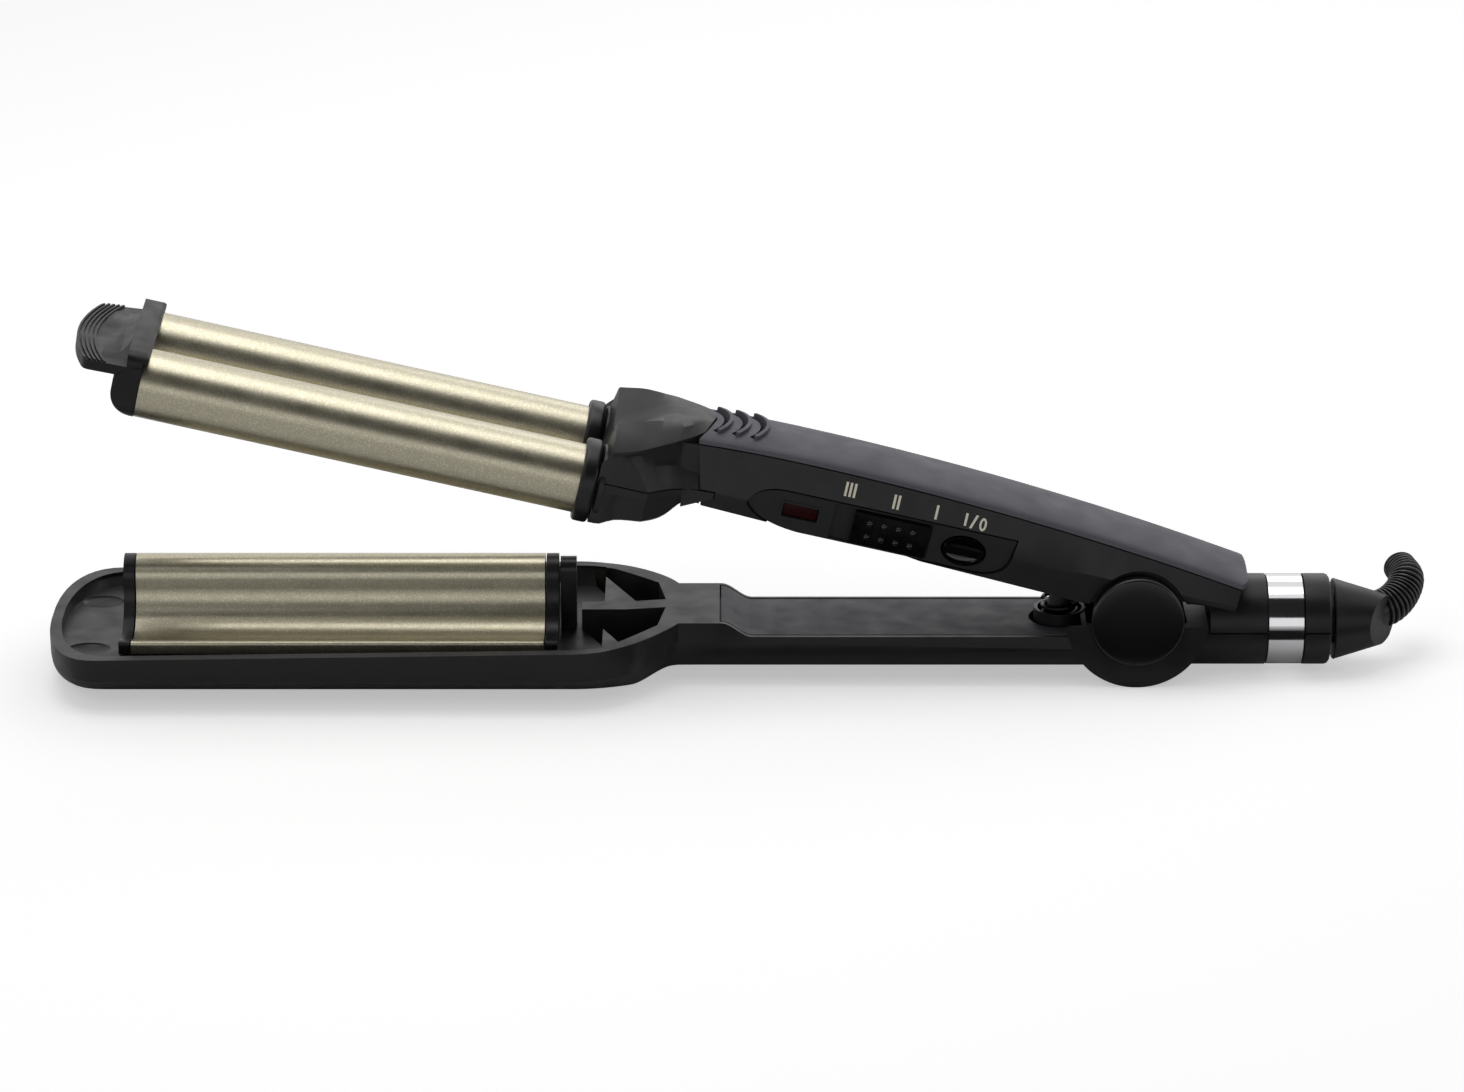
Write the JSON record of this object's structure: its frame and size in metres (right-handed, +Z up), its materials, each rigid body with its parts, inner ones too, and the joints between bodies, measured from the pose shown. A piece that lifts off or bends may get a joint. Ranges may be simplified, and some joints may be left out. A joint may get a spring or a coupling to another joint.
{
  "type": "hair crimper",
  "caption": "Hinged hair waver with two round heated barrels on the upper arm that close into the channels of a ridged heated plate on the lower arm.",
  "frame": {"origin": "middle of the object in plan, on the surface that it lies on", "axes": "+Z up, the barrel tips towards -X, the cord end towards +X, the controls on the -Y side"},
  "size_m": [0.3218, 0.062, 0.085],
  "materials": {
    "champagne_metal": "fine-speckled champagne heat coating",
    "shell_black": "fine matt moulded",
    "cover_grey": "soft-touch matt",
    "gloss_black": "polished",
    "heat_black": "satin heat-resistant",
    "chrome": "bright plated",
    "steel": "plain",
    "red_lens": "dark red translucent",
    "rubber": "matt",
    "ceramic": "unglazed",
    "board": "solder-masked",
    "lamp_glass": "orange tinted"
  },
  "bodies": {
    "lower_arm": {"lower_shell": "shell_black", "lower_handle_cover": "cover_grey", "wave_plate": "champagne_metal", "plate_front_cap": "heat_black", "plate_rear_ring": "heat_black", "plate_rear_block": "heat_black", "plate_heater": "ceramic", "hinge_axle": "steel", "hinge_cap_near": "gloss_black", "hinge_cap_far": "gloss_black", "spring_cup": "shell_black", "arm_spring": "steel", "rear_housing_top": "shell_black", "chrome_band": "chrome", "swivel_contact_disc": "heat_black", "grip_screw_front": "steel", "grip_screw_rear": "steel"},
    "upper_arm": {"upper_handle_shell": "shell_black", "upper_handle_cover": "cover_grey", "neck_upper": "shell_black", "neck_lower": "shell_black", "tip_cap": "heat_black", "barrel_near": "champagne_metal", "barrel_collar_near": "heat_black", "barrel_seal_near": "heat_black", "barrel_heater_near": "ceramic", "barrel_far": "champagne_metal", "barrel_collar_far": "heat_black", "barrel_seal_far": "heat_black", "barrel_heater_far": "ceramic", "control_panel": "shell_black", "pilot_lens": "red_lens", "slide_switch": "heat_black", "push_switch": "heat_black", "circuit_board": "board", "pilot_lamp": "lamp_glass", "thermal_fuse": "steel"},
    "cord_swivel": {"swivel_cone": "shell_black", "strain_relief": "rubber"},
    "temperature_slider": {"temperature_slider": "heat_black"},
    "power_button": {"power_button": "heat_black"}
  },
  "joints": [
    {"name": "arm_hinge", "type": "hinge", "parent": "lower_arm", "child": "upper_arm", "pos_m": [0.09361, 0, 0.0165], "axis": [0, -1, 0], "range_deg": [0, 13.1], "stiffness_Nm_per_rad": 1.2, "springref_deg": -20.05, "deforming": ["arm_spring"]},
    {"name": "cord_swivel", "type": "hinge", "parent": "lower_arm", "child": "cord_swivel", "pos_m": [0.14161, 0, 0.01195], "axis": [1, 0, 0], "continuous": true},
    {"name": "temperature_slide", "type": "slide", "parent": "upper_arm", "child": "temperature_slider", "axis": [-0.974, 0, 0.2267], "range_m": [0, 0.0046]},
    {"name": "power_press", "type": "slide", "parent": "upper_arm", "child": "power_button", "axis": [0.0257, 0.9936, 0.1103], "range_m": [0, 0.0015], "stiffness_N_per_m": 400, "springref_m": -0.002}
  ]
}
